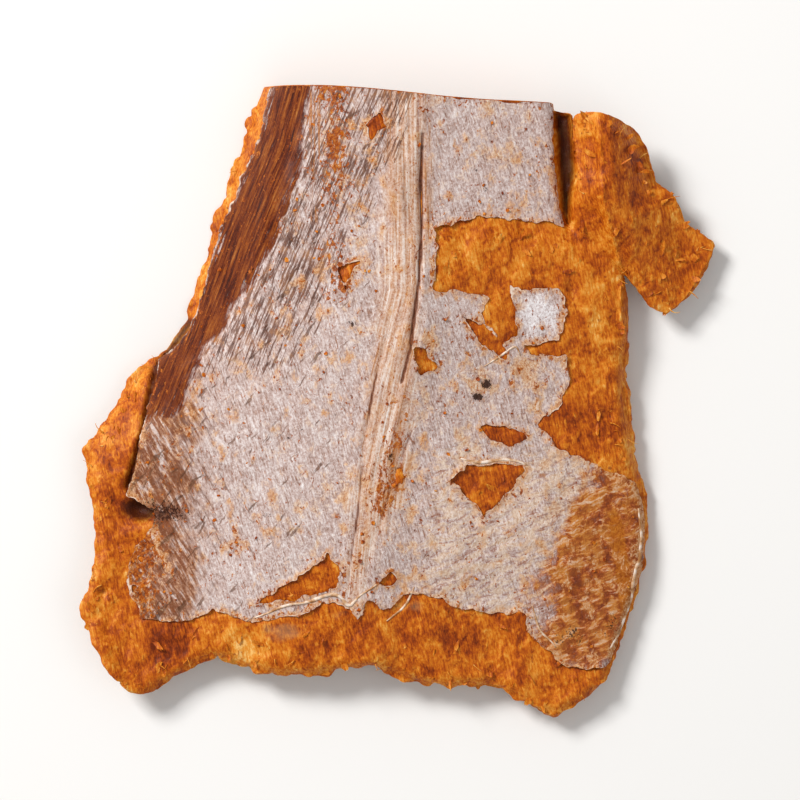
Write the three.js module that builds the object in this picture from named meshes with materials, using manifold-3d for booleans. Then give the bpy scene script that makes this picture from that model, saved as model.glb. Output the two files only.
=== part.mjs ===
// A piece of dried fish fillet with its skin on, lying flesh side down.
// It was knife-cut square across at one end (+Y) and torn off ragged at the other (-Y). The thick
// loin runs along the middle, the left flank folds down to the surface like the side of a roof, and
// the thin rims have curled a little in drying. On the right a flap of flesh has torn loose, and
// stands folded beside the piece, still joined to it at its root.
// The fillet is one piece of meat, so it is one solid. Millimetres, +Z up, and the origin is the
// middle of the footprint at the level of the surface that the fillet lies on.

import * as THREE from 'three';
import { mergeVertices } from 'three/addons/utils/BufferGeometryUtils.js';
import Module from 'manifold-3d';

// Driving dimensions, in millimetres.
const LENGTH = 65; // from the torn end's corners to the cut end's
const CUT_WIDTH = 32; // across the knife cut
const TORN_WIDTH = 54; // across the torn end, where the belly side spreads
const CUT_SHIFT = 5.3; // how far the middle of the cut lies to the right of the torn end's middle
const CUT_SLANT = 2; // how far the knife cut drops from left to right
const CROWN_HEIGHT = 9.6; // the skin's highest level over the surface, without the midline ridge
const LOIN_THICKNESS = 6; // flesh and skin at the thickest part
const RIDGE_HEIGHT = 0.6; // the raised seam that runs along the midline
const RIDGE_WIDTH = 4.4;
const RIM_ROUNDING = 1.5; // how far in from a torn rim the meat reaches its full thickness
const FLAP_LENGTH = 22.4; // the torn flap, from its top to its lowest tip
const FLAP_WIDTH = 13; // from its fold to its outer corner
const FLAP_THICKNESS = 1.5;
const FLAP_SIDE = 3.2; // width of its narrow side, left of the fold
const FOLD_HEIGHT = 8.5; // level of the flap's fold over the surface
const FLAP_SLIT = 1.8; // the clear slit between the flap and the fillet's side

// How finely the surfaces are divided.
const BODY_STEPS = { across: 42, along: 46 };
const FLAP_STEPS = { across: 12, along: 14 };

const { clamp, lerp, smoothstep } = THREE.MathUtils;
const vec = (x, y) => new THREE.Vector2(x, y);

// ---------------------------------------------------------------------------------------------
// Edges. Each one runs straight from corner to corner, and its waves are listed as [share of the
// way along, millimetres that the meat stands out past the straight line].

const cutLeft = vec(CUT_SHIFT / 2 - CUT_WIDTH / 2, LENGTH / 2 + CUT_SLANT / 2);
const cutRight = vec(CUT_SHIFT / 2 + CUT_WIDTH / 2, LENGTH / 2 - CUT_SLANT / 2);
const tornLeft = vec(-CUT_SHIFT / 2 - TORN_WIDTH / 2, -LENGTH / 2);
const tornRight = vec(-CUT_SHIFT / 2 + TORN_WIDTH / 2, -LENGTH / 2);

// The left edge bulges where the belly flesh stands out past the skin, then runs fairly straight.
const LEFT_WAVES = [
  [0.05, 3.4], [0.11, 5.4], [0.19, 5.1], [0.27, 7.0], [0.36, 9.2], [0.43, 7.4],
  [0.51, 5.2], [0.56, 2.6], [0.63, 1.7], [0.71, 1.5], [0.83, 1.1], [0.93, 0.4],
];
// The right edge steps in sharply where the flap has torn away from the side.
const STEP_AT = 0.775;
const RIGHT_WAVES = [
  [0.10, 2.9], [0.19, 5.4], [0.28, 6.2], [0.40, 5.6], [0.51, 5.1], [0.60, 6.1],
  [0.69, 6.1], [STEP_AT - 0.015, 5.2], [STEP_AT + 0.015, 0.5], [0.85, 0], [0.93, 0.1],
];
const TORN_WAVES = [
  [0.05, 1.4], [0.13, -0.9], [0.20, -2.7], [0.30, -1.0], [0.41, -0.7], [0.52, -1.6],
  [0.65, 0.7], [0.77, 0.4], [0.83, 2.0], [0.89, 3.8], [0.96, 1.9],
];
const CUT_WAVES = [[0.30, 0.2], [0.70, -0.2]];

// A smooth curve from one corner to another. Side is 1 if the outside lies to the left of the way
// it runs, and -1 if it lies to the right.
function edge(from, to, waves, side) {
  const way = to.clone().sub(from);
  const out = vec(-way.y, way.x).normalize().multiplyScalar(side);
  const points = [from, ...waves.map(([share, stand]) =>
    from.clone().addScaledVector(way, share).addScaledVector(out, stand)), to];
  const curve = new THREE.CatmullRomCurve3(
    points.map((p) => new THREE.Vector3(p.x, p.y, 0)), false, 'centripetal');
  curve.arcLengthDivisions = 1000;
  return curve;
}

// The point of the plan a share u across and a share v along the area between four edges: left and
// right run along it, near and far run across it, and all four meet at its corners.
function planPoint(edges, u, v) {
  const left = edges.left.getPointAt(v);
  const right = edges.right.getPointAt(v);
  const near = edges.near.getPointAt(u);
  const far = edges.far.getPointAt(u);
  const [nearLeft, farLeft] = [edges.left.points[0], edges.left.points.at(-1)];
  const [nearRight, farRight] = [edges.right.points[0], edges.right.points.at(-1)];
  const blend = (axis) => lerp(left[axis], right[axis], u) + lerp(near[axis], far[axis], v)
    - lerp(lerp(nearLeft[axis], nearRight[axis], u), lerp(farLeft[axis], farRight[axis], u), v);
  return vec(blend('x'), blend('y'));
}

const widthAt = (edges, v) => edges.left.getPointAt(v).distanceTo(edges.right.getPointAt(v));

// ---------------------------------------------------------------------------------------------
// Cross-sections of the body, from the torn end to the cut end, evenly spaced. Each is a row of
// stops from the left edge to the right: [share across, level of the skin as a share of
// CROWN_HEIGHT, thickness as a share of LOIN_THICKNESS]. The stops are the left edge, the middle
// of the folded side, its shoulder, the left flank, the midline, the right flank, the right edge.

const MIDLINE = 4;
const BODY_SECTIONS = [
  [[0, 0.55, 0.24], [0.08, 0.43, 0.34], [0.16, 0.40, 0.38], [0.34, 0.50, 0.42],
    [0.50, 0.53, 0.46], [0.76, 0.42, 0.44], [1, 0.34, 0.34]],
  [[0, 0.43, 0.32], [0.07, 0.41, 0.44], [0.14, 0.52, 0.62], [0.32, 0.74, 0.86],
    [0.50, 0.80, 0.94], [0.77, 0.58, 1.14], [1, 0.27, 0.50]],
  [[0, 0.27, 0.38], [0.06, 0.52, 0.52], [0.12, 0.70, 0.70], [0.32, 0.91, 0.94],
    [0.54, 0.90, 1.00], [0.78, 0.62, 1.12], [1, 0.38, 0.56]],
  [[0, 0.12, 0.32], [0.09, 0.58, 0.66], [0.17, 0.89, 0.94], [0.35, 1.00, 1.00],
    [0.50, 0.96, 0.98], [0.75, 0.74, 0.84], [1, 0.53, 0.50]],
  [[0, 0.13, 0.35], [0.08, 0.62, 0.66], [0.17, 0.88, 0.88], [0.33, 0.96, 0.92],
    [0.53, 0.93, 0.88], [0.78, 0.79, 0.70], [1, 0.62, 0.50]],
];

// Lists of numbers, read smoothly at a share t of the way from the first list to the last.
const flow = (lists, t) => lists[0].map((_, k) =>
  new THREE.SplineCurve(lists.map((list, i) => vec(i, list[k]))).getPoint(t).y);

// ---------------------------------------------------------------------------------------------
// A piece of meat: an upper and a lower surface over the same plan, closed by a wall at the rim.
// shape(v) gives the section at a share v along, as a function that turns a share from its left
// end to its right into { across, top, bottom }. Steps crowd together towards the rims.

const crowd = (t) => t - 0.09 * Math.sin(2 * Math.PI * t);

function meat(edges, steps, shape) {
  const columns = steps.across + 1;
  const count = columns * (steps.along + 1);
  const position = new Float32Array(count * 2 * 3);
  const index = [];
  for (let j = 0; j <= steps.along; j += 1) {
    const v = crowd(j / steps.along);
    const section = shape(v);
    for (let i = 0; i <= steps.across; i += 1) {
      const { across, top, bottom } = section(i / steps.across);
      const p = planPoint(edges, across, v);
      const a = j * columns + i;
      position.set([p.x, p.y, top], a * 3);
      position.set([p.x, p.y, bottom], (count + a) * 3);
      if (i < steps.across && j < steps.along) {
        const [b, c, d] = [a + 1, a + columns + 1, a + columns];
        index.push(a, b, c, a, c, d);
        index.push(count + a, count + c, count + b, count + a, count + d, count + c);
      }
    }
  }
  // The rim, walked anticlockwise as seen from above.
  const rim = [];
  for (let i = 0; i < steps.across; i += 1) rim.push(i);
  for (let j = 0; j < steps.along; j += 1) rim.push(j * columns + steps.across);
  for (let i = steps.across; i > 0; i -= 1) rim.push(steps.along * columns + i);
  for (let j = steps.along; j > 0; j -= 1) rim.push(j * columns);
  rim.forEach((a, k) => {
    const b = rim[(k + 1) % rim.length];
    index.push(a, count + a, count + b, a, count + b, b);
  });
  const geometry = new THREE.BufferGeometry();
  geometry.setAttribute('position', new THREE.BufferAttribute(position, 3));
  geometry.setIndex(index);
  return geometry;
}

// How full the meat is at a distance in from a torn rim, from a blunt edge to its whole thickness.
const BLUNT_EDGE = 0.4;
const fullness = (inward) =>
  lerp(BLUNT_EDGE, 1, Math.sqrt(1 - (1 - clamp(inward / RIM_ROUNDING, 0, 1)) ** 2));

// ---------------------------------------------------------------------------------------------
// The fillet's body. Its underside is flat where it has dried against the surface below. The cut
// end is left square, and the other three rims are rounded.

const bodyEdges = {
  left: edge(tornLeft, cutLeft, LEFT_WAVES, 1),
  right: edge(tornRight, cutRight, RIGHT_WAVES, -1),
  near: edge(tornLeft, tornRight, TORN_WAVES, -1),
  far: edge(cutLeft, cutRight, CUT_WAVES, 1),
};

function bodyShape(v) {
  const stops = flow(BODY_SECTIONS.map((row) => row.flat()), v);
  const section = BODY_SECTIONS[0].map((_, i) => stops.slice(i * 3, i * 3 + 3));
  const width = widthAt(bodyEdges, v);
  return (t) => {
    const [share, level, thickness] = flow(section, crowd(t));
    const across = clamp(share, 0, 1);
    const inward = Math.min(across * width, (1 - across) * width, v * LENGTH);
    const offMidline = (across - section[MIDLINE][0]) * width;
    const ridge = RIDGE_HEIGHT * Math.exp(-((2 * offMidline / RIDGE_WIDTH) ** 2));
    const skin = level * CROWN_HEIGHT + ridge;
    const full = thickness * LOIN_THICKNESS + ridge;
    const lost = full * (1 - fullness(inward)) / 2;
    return { across, top: skin - lost, bottom: Math.max(0, skin - full + lost) };
  };
}

// ---------------------------------------------------------------------------------------------
// The torn flap. Its root is buried in the step of the body's right edge, and is as thick there as
// the body is. From there its fold climbs, the narrow side drops left of it into the slit, and the
// wide side slopes down to the right.

const ROOT_AT = STEP_AT - 0.02; // share of the way along the body's right edge
const ROOT_IN = 0.96; // share of the way across the body
const ROOT_DEPTH = 3; // how far the root reaches into the body past the step
const ROOT_RISE = 0.3; // how far the root stands up out of the body's skin
const TIP_DROP = 9; // how far the lowest tip hangs down past the step
const RISEN_AT = 0.55; // share of the way along the flap where its fold is at full height
const SIDE_DROP = 0.2; // how far each side falls from the fold, as a share of the fold's level
const WIDE_DROP = 0.45;
const FOLD_COLUMN = 1 / 3; // share of the steps across that goes to the narrow side

const step = bodyEdges.right.getPointAt(ROOT_AT);
const rootMeat = bodyShape(ROOT_AT)(ROOT_IN);
const slitRight = cutRight.x + FLAP_SLIT;
const foldX = slitRight + FLAP_SIDE;
const tipY = step.y - TIP_DROP;

const flapCorners = {
  topLeft: vec(slitRight + 0.25 * FLAP_SIDE, tipY + 0.97 * FLAP_LENGTH),
  topRight: vec(foldX + 0.32 * FLAP_WIDTH, tipY + 0.9 * FLAP_LENGTH),
  outer: vec(foldX + FLAP_WIDTH, tipY + 0.34 * FLAP_LENGTH),
  rootLeft: vec(slitRight + 0.12 * FLAP_SIDE, step.y - ROOT_DEPTH),
};
const flapEdges = {
  left: edge(flapCorners.rootLeft, flapCorners.topLeft, [[0.4, 0.2], [0.7, -0.3]], 1),
  right: edge(flapCorners.outer, flapCorners.topRight,
    [[0.26, -1.3], [0.47, -0.6], [0.62, -1.6], [0.8, -0.5]], -1),
  near: edge(flapCorners.rootLeft, flapCorners.outer,
    [[0.2, -0.4], [0.37, 2.2], [0.59, 6.9], [0.85, 3.9]], -1),
  far: edge(flapCorners.topLeft, flapCorners.topRight, [[0.35, 0.8], [0.7, 0.6]], 1),
};

function flapShape(v) {
  const width = widthAt(flapEdges, v);
  const foldAt = FLAP_SIDE / width;
  const risen = smoothstep(v, 0, RISEN_AT);
  const fold = lerp(rootMeat.top + ROOT_RISE, FOLD_HEIGHT, risen);
  return (t) => {
    const narrow = t < FOLD_COLUMN;
    const fromFold = narrow ? 1 - t / FOLD_COLUMN : (t - FOLD_COLUMN) / (1 - FOLD_COLUMN);
    const across = narrow ? foldAt * (1 - fromFold) : lerp(foldAt, 1, fromFold);
    const drop = narrow ? SIDE_DROP * fromFold * risen : WIDE_DROP * fromFold ** 1.3;
    const inward = Math.min(across * width, (1 - across) * width, (1 - v) * FLAP_LENGTH);
    const top = fold * (1 - drop);
    const buried = (1 - risen) * (narrow ? 1 : (1 - fromFold) ** 2);
    const thickness = lerp(FLAP_THICKNESS, rootMeat.top - rootMeat.bottom, buried);
    const lost = thickness * (1 - fullness(inward)) / 2;
    return { across, top: top - lost, bottom: top - thickness + lost };
  };
}

// ---------------------------------------------------------------------------------------------
// Body and flap are joined into the one solid that the fillet is.

const wasm = await Module();
wasm.setup();

function solid(geometry) {
  const merged = mergeVertices(geometry, 1e-4);
  return new wasm.Manifold(new wasm.Mesh({
    numProp: 3,
    vertProperties: merged.attributes.position.array,
    triVerts: new Uint32Array(merged.index.array),
  }));
}

function toGeometry(manifold) {
  const mesh = manifold.getMesh();
  const geometry = new THREE.BufferGeometry();
  geometry.setAttribute('position', new THREE.BufferAttribute(mesh.vertProperties, mesh.numProp));
  geometry.setIndex(new THREE.BufferAttribute(mesh.triVerts, 1));
  geometry.computeVertexNormals();
  return geometry;
}

const body = solid(meat(bodyEdges, BODY_STEPS, bodyShape));
const flap = solid(meat(flapEdges, FLAP_STEPS, flapShape));
const joined = toGeometry(body.add(flap));

// The origin goes to the middle of the footprint, on the surface below.
joined.computeBoundingBox();
const middle = joined.boundingBox.getCenter(new THREE.Vector3());
joined.translate(-middle.x, -middle.y, -joined.boundingBox.min.z);

const driedFlesh = new THREE.MeshStandardMaterial({ color: 0xb9722f, roughness: 0.6, metalness: 0 });
const filletMesh = new THREE.Mesh(joined, driedFlesh);
filletMesh.name = 'fillet';

const fillet = new THREE.Group();
fillet.add(filletMesh);

export default fillet;
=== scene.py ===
import math

import bpy
import numpy as np
from mathutils.bvhtree import BVHTree
from mathutils.kdtree import KDTree
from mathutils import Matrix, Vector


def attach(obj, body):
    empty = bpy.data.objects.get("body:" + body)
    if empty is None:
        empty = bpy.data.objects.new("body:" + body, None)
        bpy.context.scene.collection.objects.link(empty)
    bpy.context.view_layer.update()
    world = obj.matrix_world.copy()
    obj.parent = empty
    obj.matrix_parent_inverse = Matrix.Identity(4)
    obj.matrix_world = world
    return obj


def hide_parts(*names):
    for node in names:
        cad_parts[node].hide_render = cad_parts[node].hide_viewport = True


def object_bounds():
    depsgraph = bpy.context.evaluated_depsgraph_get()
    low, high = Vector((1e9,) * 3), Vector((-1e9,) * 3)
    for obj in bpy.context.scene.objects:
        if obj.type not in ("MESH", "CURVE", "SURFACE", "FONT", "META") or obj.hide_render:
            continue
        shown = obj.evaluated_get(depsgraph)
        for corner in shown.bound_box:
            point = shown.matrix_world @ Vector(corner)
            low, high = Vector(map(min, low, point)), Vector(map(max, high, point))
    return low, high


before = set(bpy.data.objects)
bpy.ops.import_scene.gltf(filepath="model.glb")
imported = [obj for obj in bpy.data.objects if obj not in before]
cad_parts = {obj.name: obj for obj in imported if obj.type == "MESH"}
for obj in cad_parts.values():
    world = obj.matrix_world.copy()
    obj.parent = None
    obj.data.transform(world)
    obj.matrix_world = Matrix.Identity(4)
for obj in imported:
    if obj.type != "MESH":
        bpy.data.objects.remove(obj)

cad_low, cad_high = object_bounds()

# ------------------------------------------------------------------------------------------------
# The flesh. It is the dried muscle itself, hard and amber, in one slab with the flap that has torn
# loose beside it. A knife cut it straight across at the far end, and every other rim is torn, so
# those are frayed into layers.

MM = 0.001  # in metres. Lengths are in millimetres until a piece's points are made
FLESH_PITCH = 0.3  # between the points of its mesh
FLESH_WALL_ROWS = 8  # of faces down its rim
FLESH_MAP_SHARE = 0.5  # of its map's width, for its upper side
UNDER_SKIN = 0.36  # how far the flesh lies under the outer side of the skin
BARE_DROP = 0.08  # how far it lies under the solid's top where it is bare
THINNEST_FLESH = 0.5
LAYER_HEIGHT = 0.13  # of the layers that it tears into
LAYER_RISE_AT_RIM = 0.05
FIBRE_RELIEF = 0.035
FOLD_RISE = 0.6  # of the flap's fold over its two sides
FOLD_WIDTH = 0.35
FLAP_FALL = 0.14  # how far the flap's wide side falls for each millimetre from the fold
FLAP_SIDE = 7  # width of that side
CRACK_DEPTH = 0.9
CRACK_WIDTH = 0.45
# Level and thickness of the sheet in the slit, which is painted dark as shade.
SLIT_SHADE_LEVEL = 3.9
SLIT_SHADE_THICKNESS = 0.9

CUT_LINE = [(-15.1, 34.9), (16.9, 32.9)]

# The flesh lies lower under its skin, so the skin's outline comes first. It runs anticlockwise from
# the knife cut's left end.
SKIN_OUTLINE = [
    (-13.6, 37), (-15.7, 29.2), (-20.2, 18.5), (-24, 8), (-26.8, 4.3), (-28.4, -3), (-30.4, -10.6),
    (-27.4, -12.4), (-27.2, -14.2), (-29.6, -16.6), (-30.6, -20.6), (-28.6, -24.2), (-24.2, -24.5),
    (-20.8, -23.4), (-16.4, -24.6), (-11.4, -24.1), (-8.6, -22.4), (-6.1, -22.6), (-4.7, -24.2),
    (-3.4, -22.4), (-1.6, -23.6), (0.3, -21.4), (4.6, -21.8), (7, -23.4), (13.4, -23.8),
    (15, -26.8), (18.5, -29.8), (22.8, -29.9), (25.8, -26), (29, -22), (29, -12), (27, -9.6),
    (22.3, -7.5), (17.8, -5.4), (15.3, -2.7), (17.6, -0.5), (18.8, 2.1), (18.2, 4.8), (14.3, 4.9),
    (13.6, 6.1), (17.6, 6.7), (18.6, 9.9), (17.7, 12.4), (12.3, 12.5), (12.9, 7.2), (11.3, 6.4),
    (8.9, 8.8), (9.7, 11.4), (3.6, 12.2), (4.3, 15.8), (3.7, 19), (8.4, 20.2), (18.8, 19.4),
    (19, 37),
]
# Tears inside it, through which the flesh shows.
SKIN_TEARS = {
    "upper_scrap": [(6.8, 9.1), (9.2, 8.6), (12, 5.6), (11.6, 4.4), (9.4, 5.6)],
    "upper_lens": [(8.8, -2.9), (11.8, -2.7), (14.1, -4.2), (12.4, -5.4), (10.2, -4.4)],
    "kite": [
        (5.5, -9), (7.4, -7.1), (13.7, -7.3), (12.6, -10), (10.7, -11.2), (9.3, -13.1), (8.4, -11.4),
    ],
    "midline_scrap": [(1, 6.3), (2.9, 5.6), (4, 3.6), (2.2, 2.8)],
    "lower_wedge": [
        (-16.2, -22.7), (-11.6, -19.8), (-8, -17.2), (-6.6, -18.6), (-6.9, -21), (-12.2, -22.2),
    ],
    "left_blot": [(-7.3, 14.7), (-4.5, 15.2), (-6, 12.4)],
    "top_blot": [(-3.8, 30.2), (-2.2, 31.6), (-1.3, 30), (-3.2, 28.7)],
    "low_scrap": [(-2.4, -20.4), (-1.2, -18.9), (0.2, -19.8), (-0.8, -20.6)],
}
# Where it has worn thin and has small holes: x, y, half width, half length and how worn.
WORN_PLACES = [(-0.6, -8, 1.8, 2.4, 0.75), (-29, -19, 2.5, 4, 0.6), (16, 1, 3, 3, 0.2)]
# A low sheet across the slit between the fillet's side and the flap, painted dark as shade.
SLIT_SHADE_OUTLINE = [(16.2, 32.4), (18.9, 31.6), (19.4, 26), (20.8, 19), (18, 17.5), (16, 21)]
FLAP_AREA = [(18.8, 34), (20.2, 19), (22.6, 13), (26, 4), (38, 12), (31, 36)]
FLAP_FOLD = [(21.9, 31.5), (22.4, 22), (24.6, 14.2)]
# The crack where the left rim has lifted off the skin's edge.
CRACK_LINE = [(-23.5, 8.6), (-27.2, 3.4), (-28.5, -4), (-30.2, -9.6)]
# Pits, each as x, y, half width, half length and depth.
PITS = [
    (-28.7, -12.1, 2.1, 1.3, 1.7), (-33, -21.3, 0.6, 0.5, 0.7), (23, -1.6, 0.8, 0.6, 0.4),
    (19, 12, 0.6, 1.4, 0.5), (18.9, -28.2, 1.3, 1.1, 0.6), (21.5, -29.2, 0.8, 0.7, 0.5),
]


def smooth(value, low, high):
    """0 below low, 1 above high, and a smooth rise between them."""
    share = np.clip((value - low) / (high - low), 0, 1)
    return share * share * (3 - 2 * share)


def hill(distance, width):
    """1 at no distance, falling smoothly to about a third at one width and to almost 0 at two."""
    return np.exp(-((distance / width) ** 2))


NOISE_REPEAT = 97  # bumps across and along, before the noise repeats


def noise(x, y, size, seed):
    """Smooth noise from -1 to 1. Its bumps are size wide, or size is how wide and how long."""
    wide, long = np.broadcast_to(size, 2)
    lattice = np.random.default_rng(seed).uniform(-1, 1, (NOISE_REPEAT, NOISE_REPEAT))
    u = x / wide + 10 * NOISE_REPEAT
    v = y / long + 10 * NOISE_REPEAT
    i = np.floor(u).astype(int)
    j = np.floor(v).astype(int)
    right = smooth(u - i, 0, 1)
    up = smooth(v - j, 0, 1)
    i, j, i_next, j_next = (k % NOISE_REPEAT for k in (i, j, i + 1, j + 1))
    near = lattice[i, j] * (1 - right) + lattice[i_next, j] * right
    far = lattice[i, j_next] * (1 - right) + lattice[i_next, j_next] * right
    return near * (1 - up) + far * up


def rough(x, y, size, seed):
    """Noise with two finer noises on it, also from about -1 to 1."""
    size = np.broadcast_to(size, 2)
    finer = sum(noise(x, y, size / 2**k, seed + k) / 2**k for k in range(3))
    return finer / 1.4


def turned(x, y, degrees):
    """Coordinates across and along a direction that is turned that far from +Y, anticlockwise."""
    c = math.cos(math.radians(degrees))
    s = math.sin(math.radians(degrees))
    return x * c + y * s, y * c - x * s


def off_line(x, y, points):
    """Distance from a line through the points."""
    nearest = np.full(np.shape(x), np.inf)
    for (ax, ay), (bx, by) in zip(points, points[1:]):
        span = (bx - ax) ** 2 + (by - ay) ** 2
        share = np.clip(((x - ax) * (bx - ax) + (y - ay) * (by - ay)) / span, 0, 1)
        apart = np.hypot(x - ax - share * (bx - ax), y - ay - share * (by - ay))
        nearest = np.minimum(nearest, apart)
    return nearest


def inset(x, y, outline):
    """How far in from a closed outline each place lies. Outside it, the distance is below zero."""
    closed = outline + outline[:1]
    within = np.zeros(np.shape(x), bool)
    for (ax, ay), (bx, by) in zip(closed, closed[1:]):
        if ay != by:
            within ^= ((ay > y) != (by > y)) & (x < (bx - ax) * (y - ay) / (by - ay) + ax)
    apart = off_line(x, y, closed)
    return np.where(within, apart, -apart)


def bumps(x, y, places):
    """The sum of round bumps, each given as x, y, half width, half length and height."""
    total = np.zeros(np.shape(x))
    for cx, cy, wide, long, height in places:
        total += height * np.exp(-(((x - cx) / wide) ** 2) - ((y - cy) / long) ** 2)
    return total


# The solid is surveyed from above and below on a grid, and rim_tree holds places along its rim.
SURVEY_STEP = 0.25
SURVEY_MARGIN = 3  # beside the solid
SURVEY_HEIGHT = 50  # where the measuring rays start, over and under it
RIM_HALVINGS = 8  # of the step in which a place on the rim is looked for

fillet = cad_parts["fillet"]
solid = BVHTree.FromPolygons(
    [v.co / MM for v in fillet.data.vertices], [p.vertices[:] for p in fillet.data.polygons]
)
survey_x = np.arange(cad_low.x / MM - SURVEY_MARGIN, cad_high.x / MM + SURVEY_MARGIN, SURVEY_STEP)
survey_y = np.arange(cad_low.y / MM - SURVEY_MARGIN, cad_high.y / MM + SURVEY_MARGIN, SURVEY_STEP)


def levels(x, y):
    """Top and bottom of the solid at a place, or None beside it."""
    above = solid.ray_cast((x, y, SURVEY_HEIGHT), (0, 0, -1))[0]
    if above is None:
        return None
    below = solid.ray_cast((x, y, -SURVEY_HEIGHT), (0, 0, 1))[0]
    return above.z, below.z


def rim_place(inner, outer):
    """The last place over the solid on the way from one over it to one beside it."""
    for _ in range(RIM_HALVINGS):
        middle = (inner + outer) / 2
        if levels(*middle):
            inner = middle
        else:
            outer = middle
    return inner


surveyed = [[levels(x, y) for y in survey_y] for x in survey_x]
over = np.array([[found is not None for found in column] for column in surveyed])
rim_places = []
for step in ((1, 0), (0, 1)):
    ahead = np.roll(over, (-step[0], -step[1]), (0, 1))
    for i, j in np.argwhere(over != ahead):
        ends = [np.array((survey_x[a], survey_y[b])) for a, b in ((i, j), (i + step[0], j + step[1]))]
        rim_places.append(rim_place(*(ends if over[i, j] else ends[::-1])))
rim_tree = KDTree(len(rim_places))
for number, place in enumerate(rim_places):
    rim_tree.insert((*place, 0), number)
rim_tree.balance()
rim_levels = [levels(*place) for place in rim_places]

depth_in = np.zeros(over.shape)
solid_top = np.zeros(over.shape)
solid_bottom = np.zeros(over.shape)
for i, x in enumerate(survey_x):
    for j, y in enumerate(survey_y):
        _, nearest, apart = rim_tree.find((x, y, 0))
        depth_in[i, j] = apart if over[i, j] else -apart
        solid_top[i, j], solid_bottom[i, j] = surveyed[i][j] or rim_levels[nearest]


def read(survey, x, y):
    """A survey's value at any place, read between the places that were measured."""
    u = np.clip((x - survey_x[0]) / SURVEY_STEP, 0, len(survey_x) - 1.001)
    v = np.clip((y - survey_y[0]) / SURVEY_STEP, 0, len(survey_y) - 1.001)
    i = u.astype(int)
    j = v.astype(int)
    near = survey[i, j] * (1 - u + i) + survey[i + 1, j] * (u - i)
    far = survey[i, j + 1] * (1 - u + i) + survey[i + 1, j + 1] * (u - i)
    return near * (1 - v + j) + far * (v - j)


def torn(x, y):
    """1 where the rim is torn, 0 along the knife cut."""
    return smooth(off_line(x, y, CUT_LINE), 0.8, 3)


def on_flap(x, y):
    """1 on the flap's two sides, 0 on the body."""
    return smooth(inset(x, y, FLAP_AREA), -0.4, 0.8)


def flesh_within(x, y):
    """How far in from the flesh's rim a place lies, below zero outside it."""
    notches = 0.14 * noise(x, y, 1, 14) + 0.12 * noise(x, y, 0.55, 15)
    fray = 0.55 * rough(x, y, 2.8, 11) + notches
    fray *= 1 - 0.75 * on_flap(x, y)
    solid_within = read(depth_in, x, y) + 0.1 + torn(x, y) * fray
    return np.maximum(solid_within, inset(x, y, SLIT_SHADE_OUTLINE))


def skin_within(x, y):
    """How far in from the skin's torn edges a place lies, below zero where there is no skin."""
    edge = 0.3 * rough(x, y, 2, 21) + 0.32 * rough(x, y, 0.8, 24)
    reach = inset(x, y, SKIN_OUTLINE) + edge
    for tear in SKIN_TEARS.values():
        reach = np.minimum(reach, edge - inset(x, y, tear))
    reach = np.minimum(reach, 1.05 - rough(x, y, (0.9, 1.6), 27) - bumps(x, y, WORN_PLACES))
    wrapped = smooth(x, 18, 22) * smooth(-y, 9, 12)
    return np.minimum(reach, read(depth_in, x, y) + torn(x, y) * (0.6 * edge - 0.35 + 0.45 * wrapped))


def in_slit_shade(x, y):
    """1 over the sheet of painted shade in the slit, where there is no solid."""
    return smooth(inset(x, y, SLIT_SHADE_OUTLINE), -0.2, 0.4) * smooth(-read(depth_in, x, y), -0.1, 0.5)


def layer_steps(x, y):
    """How many thin layers of flesh are left at a place. It breaks off at whole numbers."""
    return 2.2 * (rough(x, y, (3.4, 4.6), 31) + 0.16 * noise(x, y, 0.9, 34))


def aside(x, y, line):
    """Distance to the right of a line that runs down the piece, below zero to its left."""
    ys = [p[1] for p in line[::-1]]
    xs = [p[0] for p in line[::-1]]
    return x - np.interp(y, ys, xs)


def flesh_top(x, y):
    """Level of the flesh's upper side: broken layers with fibres and grain on them."""
    top = read(solid_top, x, y)
    rim = 1 - smooth(read(depth_in, x, y), 0.5, 5)
    steps = layer_steps(x, y)
    layers = np.floor(steps) + smooth(steps - np.floor(steps), 0.7, 0.95)
    fibres = noise(x, y, (0.45, 2.4), 35) + 0.8 * noise(x, y, (0.4, 1.1), 36)
    grains = 0.5 - 1.5 * np.abs(noise(x, y, 0.75, 37)) + 0.5 * noise(x, y, 0.4, 38)
    relief = (LAYER_HEIGHT + LAYER_RISE_AT_RIM * rim) * layers
    relief = relief + FIBRE_RELIEF * fibres + (0.01 + 0.03 * rim) * grains
    beyond_fold = aside(x, y, FLAP_FOLD)
    ridge = FOLD_RISE * np.exp(-np.abs(beyond_fold) / FOLD_WIDTH)
    ridge = ridge - FLAP_FALL * np.clip(beyond_fold, 0, FLAP_SIDE)
    top = top + on_flap(x, y) * ridge
    covered = smooth(skin_within(x, y), 0, 0.35)
    level = (top - BARE_DROP + relief) * (1 - covered) + (top - UNDER_SKIN) * covered
    crack = hill(off_line(x, y, CRACK_LINE), CRACK_WIDTH)
    level -= bumps(x, y, PITS) + CRACK_DEPTH * crack
    level = np.maximum(level, read(solid_bottom, x, y) + THINNEST_FLESH)
    slit_shade = in_slit_shade(x, y)
    return level * (1 - slit_shade) + (SLIT_SHADE_LEVEL + 0.25 * rough(x, y, (0.8, 2.2), 38)) * slit_shade


# The underside is muscle: bent blocks that meet in pale seams, and the channel of the backbone.
MIDLINE = [(1.2, 36), (1.2, 12), (-1.2, 2), (-3.6, -10), (-5, -24), (-5.5, -34)]
BLOCK_LENGTH = 3.4
BLOCK_LEAN = 0.6  # how far a seam runs up the piece for each millimetre out from the midline
SEAM_WIDTH = 0.4
SEAM_DEPTH = 0.16
CHANNEL_WIDTH = 1.5
CHANNEL_DEPTH = 0.45


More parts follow.
